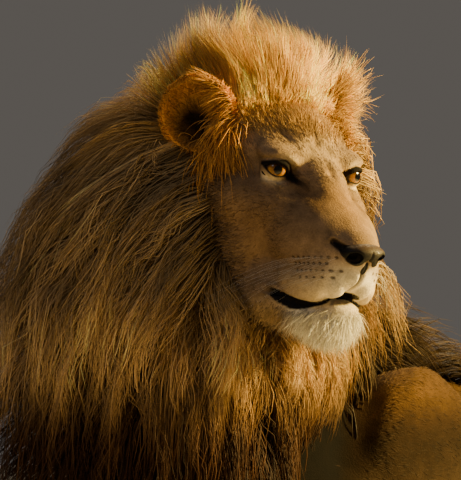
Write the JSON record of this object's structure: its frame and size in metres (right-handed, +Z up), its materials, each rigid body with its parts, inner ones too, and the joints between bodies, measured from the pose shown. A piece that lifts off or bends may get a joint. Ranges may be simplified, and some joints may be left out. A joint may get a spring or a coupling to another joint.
{
  "type": "lying male lion",
  "caption": "Life-size male lion lying on its belly, forelegs stretched out, full mane, head raised and turned to its left.",
  "frame": {"origin": "on the floor, in the middle of the flat of the belly", "axes": "+Z up; the trunk points forward along -Y, with the lion's own left at +X; the head is turned towards +X"},
  "size_m": [0.8635, 1.9875, 1.1249],
  "materials": {
    "tawny_coat": "short tawny fur",
    "mane_hair": "long golden to dark brown mane hair",
    "nose_leather": "bare damp nose skin",
    "amber_eye": "wet amber eye"
  },
  "bodies": {
    "root": {"head": "tawny_coat", "jaw": "tawny_coat", "nose": "nose_leather", "ear_left": "tawny_coat", "ear_right": "tawny_coat", "eye_left": "amber_eye", "eye_right": "amber_eye", "neck": "mane_hair", "trunk": "tawny_coat", "foreleg_left": "tawny_coat", "foreleg_right": "tawny_coat", "forepaw_left": "tawny_coat", "forepaw_right": "tawny_coat", "hindleg_left": "tawny_coat", "hindleg_right": "tawny_coat", "hindpaw_left": "tawny_coat", "hindpaw_right": "tawny_coat", "tail": "tawny_coat", "tail_tuft": "mane_hair"}
  },
  "joints": []
}
